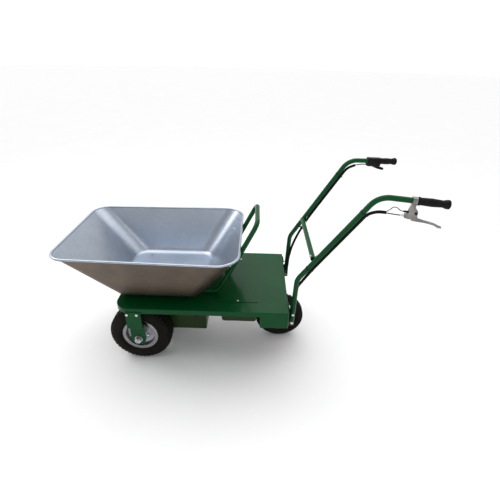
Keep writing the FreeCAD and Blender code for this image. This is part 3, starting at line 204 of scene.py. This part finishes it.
def sheet_steel(name):
    """Galvanised pan sheet: blue-grey and softly brushed inside; the downward-facing outside faces carry
    painted shade, a darker warm brown mottled by noise, and are rougher.
    """
    it = Shader(name, rough=0.36, metal=1.0)
    it.soft_edges(0.001)
    crystals = it.node("ShaderNodeSeparateColor", Color=it.cells(75)).outputs["Red"]
    bloom = it.noise(4.5, 6, 0.6)
    inside = it.mix(0.25, it.ramp(bloom, [(0.3, (0.365, 0.410, 0.480)), (0.72, (0.455, 0.500, 0.570))]),
                    it.ramp(crystals, [(0.0, (0.360, 0.405, 0.475)), (1.0, (0.485, 0.525, 0.595))]))
    # painted shade: faces pointing down (the pan's outside) are darkened to a mottled warm brown in place
    # of the shade that falls on them
    painted_outside_shade = it.ramp(it.noise(7, 8, 0.68), [(0.3, (0.108, 0.095, 0.086)), (0.7, (0.178, 0.134, 0.100))])
    facing = it.node("ShaderNodeSeparateXYZ", Vector=it.surface).outputs["Z"]
    outside = it.band(facing, -0.02, -0.22)
    it.color(it.mix(outside, inside, painted_outside_shade))
    brushed = it.noise(20, 5, 0.65, it.stretched(1, 1, 6))
    it.roughness(it.total(it.band(brushed, 0.3, 0.75, 0.30, 0.42),
                          it.band(outside, 0.0, 1.0, 0.0, 0.10)))
    it.bump(it.noise(5.5, 3), 0.12, 0.004)
    it.bump(it.noise(190, 4), 0.05, 0.0004)
    return it.material


def rubber(name, dark, light, rough, grain=260, strength=0.25, dust=0.3):
    """Moulded rubber: matt grain with a thin film of dust."""
    it = Shader(name, rough=rough, specular=0.07)
    film = it.band(it.noise(14, 7, 0.65), 0.4, 0.75, 0.0, dust)
    base = it.ramp(it.noise(60, 5), [(0.3, dark), (0.75, light)])
    it.color(it.mix(film, base, (0.075, 0.062, 0.05)))
    it.roughness(it.band(it.noise(30, 5), 0.3, 0.7, rough - 0.08, rough + 0.1))
    it.bump(it.noise(grain, 4, 0.6), strength, 0.0005)
    return it.material


def cast(name, dark, light, rough, metal):
    """Rough cast or moulded surface with small pits."""
    it = Shader(name, rough=rough, metal=metal)
    it.soft_edges(0.0012)
    it.color(it.ramp(it.noise(24, 6), [(0.3, dark), (0.7, light)]))
    it.roughness(it.band(it.noise(50, 4), 0.3, 0.7, rough - 0.08, rough + 0.12))
    it.bump(it.noise(320, 5, 0.7), 0.3, 0.0006)
    return it.material


GREEN = gloss_paint("green_enamel", (0.0010, 0.050, 0.012), (0.0020, 0.066, 0.018), rough=0.22)
OLIVE = gloss_paint("olive_enamel", (0.012, 0.026, 0.006), (0.020, 0.040, 0.010), rough=0.42)
RED = gloss_paint("red_enamel", (0.26, 0.012, 0.008), (0.36, 0.020, 0.012), rough=0.35)
BLACK = gloss_paint("black_enamel", (0.006, 0.006, 0.006), (0.013, 0.013, 0.013), rough=0.38)
GALVANISED = sheet_steel("galvanised_sheet")
RIM_STEEL = rolled_steel("galvanised_rim", (0.20, 0.203, 0.210), (0.35, 0.355, 0.365), 0.25,
                         grain=30, spangle=0.12)
ZINC = rolled_steel("zinc_plate", (0.50, 0.50, 0.52), (0.74, 0.74, 0.76), 0.24, grain=400, spangle=0.15)
STEEL = rolled_steel("machined_steel", (0.35, 0.35, 0.36), (0.52, 0.52, 0.53), 0.30, grain=300, spangle=0.1)
ALUMINIUM = cast("cast_aluminium", (0.15, 0.145, 0.14), (0.32, 0.31, 0.30), 0.28, 1.0)
IRON = cast("cast_housing", (0.10, 0.10, 0.105), (0.17, 0.17, 0.175), 0.55, 0.6)
TYRE = rubber("tyre_rubber", (0.005, 0.0046, 0.004), (0.010, 0.0088, 0.0075), 0.66, dust=0.12)
GRIP = rubber("grip_rubber", (0.005, 0.005, 0.0055), (0.010, 0.010, 0.011), 0.45,
              grain=500, strength=0.12, dust=0.12)
PLASTIC = rubber("black_plastic", (0.007, 0.006, 0.006), (0.014, 0.013, 0.013), 0.40,
                 grain=700, strength=0.12, dust=0.1)
JACKET = rubber("cable_jacket", (0.003, 0.003, 0.0035), (0.008, 0.008, 0.009), 0.42,
                grain=300, strength=0.05, dust=0.12)

FINISHES = {
    "green_paint": GREEN, "olive_paint": OLIVE, "galvanised_steel": GALVANISED, "zinc_plated_steel": ZINC,
    "machined_steel": STEEL, "cast_housing": IRON, "black_enamel": BLACK, "red_paint": RED,
    "tyre_rubber": TYRE, "grip_rubber": GRIP, "black_plastic": PLASTIC, "cable_jacket": JACKET,
    "cast_aluminium": ALUMINIUM,
}
for part in frame["record"]["subparts"]:
    NODES[part["node"]].data.materials.clear()
    NODES[part["node"]].data.materials.append(FINISHES[part["material_slot"]])
for name in ("left_rim", "right_rim"):
    NODES[name].data.materials[0] = RIM_STEEL


# ---------------------------------------------------------------- finer pieces

def piece(name, mesh_data, material, body, smooth=40):
    """A finished mesh piece that rides on a body."""
    mesh = bpy.data.meshes.new(name)
    mesh_data.normal_update()
    mesh_data.to_mesh(mesh)
    mesh_data.free()
    made = bpy.data.objects.new(name, mesh)
    bpy.context.scene.collection.objects.link(made)
    mesh.materials.append(material)
    mesh.shade_smooth()
    mesh.set_sharp_from_angle(angle=math.radians(smooth))
    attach(made, body)
    return made


def lathe(mesh_data, profile, centre, turns, reach):
    """A closed profile of (radius, across) points turned about the Y axis through `centre`.

    `reach` gives how far each point stands out at each step of the turn.
    """
    rings = []
    for step in range(turns):
        angle = TAU * step / turns
        ring = []
        for index, (radius, across) in enumerate(profile):
            r = radius + reach(index, radius, across, step)
            point = Vector((r * math.cos(angle), across, r * math.sin(angle)))
            ring.append(mesh_data.verts.new(centre + point))
        rings.append(ring)
    count = len(profile)
    for step in range(turns):
        here, there = rings[step], rings[(step + 1) % turns]
        for index in range(count):
            after = (index + 1) % count
            mesh_data.faces.new((here[index], here[after], there[after], there[index]))


TYRE_LUGS, LUG_STEPS = 44, 6
TREAD_HEIGHT, SHOULDER_HEIGHT = 0.0045, 0.030


def tyre(name, centre, radius, rim, width, body):
    """A barrow tyre: beads, ringed sidewalls, and a block tread with shoulder lugs."""
    half = width / 2
    turns = TYRE_LUGS * LUG_STEPS
    side = [(rim - 0.0150, half - 0.0190), (rim - 0.0150, half - 0.0103), (rim + 0.0030, half - 0.0100),
            (rim + 0.0058, half - 0.0088), (rim + 0.0085, half - 0.0060), (rim + 0.0125, half - 0.0028),
            (rim + 0.0165, half - 0.0009), (rim + 0.0175, half + 0.0003), (rim + 0.0200, half + 0.0003),
            (rim + 0.0210, half - 0.0007)]
    crown = radius - TREAD_HEIGHT
    wall_top = radius - SHOULDER_HEIGHT
    for share in (0.2, 0.4, 0.6, 0.8, 1.0):
        r = rim + 0.0210 + (wall_top - rim - 0.0210) * share
        side.append((r, half - 0.0007 - 0.0006 * share ** 2))
    for degrees in range(10, 91, 10):
        turn = math.radians(degrees)
        r = wall_top + (crown - wall_top) * math.sin(turn)
        side.append((r, half * 0.42 + (half * 0.58 - 0.0013) * math.cos(turn)))
    side.append((crown, half * 0.30))
    side.append((crown - 0.0030, half * 0.29))
    side.append((crown - 0.0030, half * 0.25))
    side.append((crown, half * 0.24))
    side.append((crown + 0.0004, half * 0.03))
    inner = [(rim + 0.006, half - 0.024), (rim + 0.016, half - 0.012), (radius - 0.034, half - 0.012),
             (radius - 0.016, half - 0.024), (radius - 0.012, half * 0.3)]
    outer = side + [(r, -y) for r, y in reversed(side)]
    hollow = [(r, -y) for r, y in inner] + [(r, y) for r, y in reversed(inner)]
    profile = outer + hollow
    count = len(outer)

    def reach(index, r, across, step):
        if index >= count or r < crown - 0.0075:
            return 0.0
        phase = (step + (3 if across > 0 else 0)) % LUG_STEPS
        shoulder = abs(across) > half * 0.34
        if shoulder:
            return 0.0042 if phase < 4 else -0.0006
        if abs(across) > half * 0.2:
            return 0.0
        return 0.0040 if (step + 1) % LUG_STEPS < 5 else 0.0012

    shape = bmesh.new()
    lathe(shape, profile, centre, turns, reach)
    bmesh.ops.recalc_face_normals(shape, faces=shape.faces)
    return piece(name, shape, TYRE, body, smooth=28)


for name, body, rim in (("left_tyre", "left_wheel", 0.095), ("right_tyre", "right_wheel", 0.095),
                        ("castor_tyre", "castor_wheel", 0.092)):
    low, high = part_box(name)
    made = tyre(name.replace("tyre", "treaded_tyre"), (low + high) / 2, (high.z - low.z) / 2, rim,
                high.y - low.y, body)
    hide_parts(name)


def hull(points):
    """The outline of a set of 2-D points, anticlockwise."""
    points = sorted(set(points))
    chains = []
    for walk in (points, points[::-1]):
        chain = []
        for p in walk:
            while len(chain) > 1 and ((chain[-1][0] - chain[-2][0]) * (p[1] - chain[-2][1])
                                      <= (chain[-1][1] - chain[-2][1]) * (p[0] - chain[-2][0])):
                chain.pop()
            chain.append(p)
        chains += chain[:-1]
    return chains


TIE_REACH = 0.036


def cut_outline(names, at, along, across, third):
    """Where a plane cuts the named nodes near a point, as 2-D points about that point."""
    found = []
    for name in names:
        copy = bmesh.new()
        copy.from_mesh(NODES[name].data)
        cut = bmesh.ops.bisect_plane(copy, geom=copy.verts[:] + copy.edges[:] + copy.faces[:],
                                     plane_co=at, plane_no=along)["geom_cut"]
        for item in cut:
            if isinstance(item, bmesh.types.BMVert):
                offset = item.co - at
                if offset.length < TIE_REACH:
                    found.append((round(offset.dot(across), 6), round(offset.dot(third), 6)))
        copy.free()
    return found


def cable_tie(name, names, at, along, body, tilt):
    """A nylon tie drawn round a tube and its cable sleeve, with its square head and cut tail."""
    along = Vector(along).normalized()
    at = Vector(at)
    across = along.cross(Vector((0, 0, 1))).normalized()
    third = across.cross(along)
    outline = hull(cut_outline(names, at, along, across, third))
    count = len(outline)
    centre = Vector((sum(p[0] for p in outline) / count, sum(p[1] for p in outline) / count))
    shape = bmesh.new()
    rings = []
    section = ((0.0003, -0.0022), (0.0013, -0.0022), (0.0015, -0.0014), (0.0015, 0.0014),
               (0.0013, 0.0022), (0.0003, 0.0022))
    for index in range(count):
        here = Vector(outline[index])
        before, after = Vector(outline[index - 1]), Vector(outline[(index + 1) % count])
        run = (after - before).normalized()
        out = Vector((run.y, -run.x))
        if out.dot(here - centre) < 0:
            out = -out
        ring = []
        for lift, shift in section:
            flat = here + out * lift
            ring.append(shape.verts.new(at + across * flat.x + third * flat.y + along * shift))
        rings.append(ring)
    size = len(section)
    for index in range(count):
        here, there = rings[index], rings[(index + 1) % count]
        for step in range(size):
            after = (step + 1) % size
            shape.faces.new((here[step], here[after], there[after], there[step]))
    best = max(outline, key=lambda p: p[0] * math.cos(tilt) + p[1] * math.sin(tilt))
    middle = at + across * best[0] + third * best[1]
    out = (across * math.cos(tilt) + third * math.sin(tilt)).normalized()
    side = out.cross(along)
    place = Matrix.Translation(middle) @ Matrix((side, along, out)).transposed().to_4x4()
    head, tail = ((0.0052, 0.0060, 0.0042), (0, 0, 0.0026)), ((0.0014, 0.0036, 0.0070), (0.0012, 0, 0.0065))
    for extent, shift in (head, tail):
        block = bmesh.ops.create_cube(shape, size=1.0)["verts"]
        bmesh.ops.scale(shape, vec=extent, verts=block)
        bmesh.ops.translate(shape, vec=shift, verts=block)
        bmesh.ops.transform(shape, matrix=place, verts=block)
    bmesh.ops.recalc_face_normals(shape, faces=shape.faces)
    return piece(name, shape, PLASTIC, body, smooth=35)


def handle_place(side, share):
    """A point on a handle's long rise, and the rise's direction."""
    foot, top = Vector((0.300, side * 0.236, 0.543)), Vector((0.601, side * 0.286, 1.004))
    return foot + (top - foot) * share, top - foot


for side, word in ((-1, "left"), (1, "right")):
    for number, share in enumerate((0.155, 0.83)):
        at, along = handle_place(side, share)
        tilt = math.radians(200 if side < 0 else -20)
        cable_tie(f"cable_tie_{word}_{number}", (f"{word}_handle", "cable_sleeves"), at, along,
                  "chassis", tilt)


# ---------------------------------------------------------------- floor, light and camera

def floor_material():
    it = Shader("floor_paint", rough=0.75)
    it.color(it.ramp(it.noise(2.0, 4), [(0.0, (0.84, 0.84, 0.84)), (1.0, (0.88, 0.88, 0.88))]))
    it.bump(it.noise(90, 3), 0.03, 0.0005)
    return it.material


def make_floor():
    """A pale disc that reaches past the horizon of every view."""
    shape = bmesh.new()
    bmesh.ops.create_circle(shape, cap_ends=True, segments=128, radius=40)
    mesh = bpy.data.meshes.new("floor")
    shape.to_mesh(mesh)
    shape.free()
    floor = bpy.data.objects.new("floor", mesh)
    bpy.context.scene.collection.objects.link(floor)
    mesh.materials.append(floor_material())
    floor.location.z = CAD_BOX[0].z - 0.0002


def area_light(name, at, aim, across, power):
    data = bpy.data.lights.new(name, "AREA")
    data.shape = "RECTANGLE"
    data.size, data.size_y = across
    data.energy = power
    made = bpy.data.objects.new(name, data)
    made.location = at
    made.rotation_euler = (Vector(aim) - Vector(at)).to_track_quat("-Z", "Y").to_euler()
    bpy.context.scene.collection.objects.link(made)


def make_light():
    """A white sweep behind and along the horizon, greyer behind the camera, with soft boxes."""
    world = bpy.data.worlds.new("studio")
    world.use_nodes = True
    tree = world.node_tree
    backdrop = tree.nodes["Background"]
    direction = tree.nodes.new("ShaderNodeTexCoord")
    parts = tree.nodes.new("ShaderNodeSeparateXYZ")
    shade = tree.nodes.new("ShaderNodeValToRGB")
    tree.links.new(direction.outputs["Generated"], parts.inputs["Vector"])
    away = map_range(tree, parts.outputs["Y"], -1.0, 1.0, 0.0, 1.0)
    horizon = map_range(tree, parts.outputs["Z"], 0.05, 0.35, 1.0, 0.0)
    lighter = tree.nodes.new("ShaderNodeMath")
    lighter.operation = "MAXIMUM"
    tree.links.new(away, lighter.inputs[0])
    tree.links.new(horizon, lighter.inputs[1])
    tree.links.new(lighter.outputs["Value"], shade.inputs["Fac"])
    tree.links.new(shade.outputs["Color"], backdrop.inputs["Color"])
    ends = shade.color_ramp.elements
    ends[0].position, ends[0].color = 0.20, (0.57, 0.58, 0.60, 1)
    ends[1].position, ends[1].color = 0.60, (1.0, 1.0, 1.0, 1)
    ceiling = map_range(tree, parts.outputs["Z"], 0.14, 0.42, 1.03, 0.68)
    tree.links.new(ceiling, backdrop.inputs["Strength"])
    bpy.context.scene.world = world
    bpy.context.scene.view_settings.view_transform = "Standard"
    area_light("top", (-0.2, 0.5, 3.0), (-0.1, 0, 0.4), (4.6, 3.2), 19)
    area_light("left", (-2.6, 0.4, 2.4), (-0.2, 0, 0.4), (1.0, 1.4), 18)
    area_light("front", (0.6, -2.8, 2.6), (0, 0, 0.4), (2.0, 0.8), 8)
    data = bpy.data.lights.new("sky", "SUN")
    data.energy = 1.7
    data.angle = math.radians(88)
    sky = bpy.data.objects.new("sky", data)
    sky.rotation_euler = Vector((0.12, -0.30, -1)).to_track_quat("-Z", "Y").to_euler()
    bpy.context.scene.collection.objects.link(sky)


def make_camera():
    """The photograph's viewpoint, fitted to the wheels, the pan and the handles."""
    yaw, pitch, roll = -0.0091, 0.4732, 0.0236
    forward = Vector((math.sin(yaw) * math.cos(pitch), math.cos(yaw) * math.cos(pitch), -math.sin(pitch)))
    level = Vector((math.cos(yaw), -math.sin(yaw), 0))
    above = level.cross(forward)
    right = math.cos(roll) * level + math.sin(roll) * above
    up = math.cos(roll) * above - math.sin(roll) * level
    data = bpy.data.cameras.new("camera")
    data.sensor_width = 36
    data.lens = 26.08
    data.shift_x = 0.0
    data.shift_y = -0.025
    data.clip_start, data.clip_end = 0.05, 50
    camera = bpy.data.objects.new("camera", data)
    turn = Matrix((right, up, -forward)).transposed().to_4x4()
    camera.matrix_world = Matrix.Translation((0.0777, -1.7282, 1.5321)) @ turn
    bpy.context.scene.collection.objects.link(camera)
    bpy.context.scene.camera = camera


make_floor()
make_light()
make_camera()
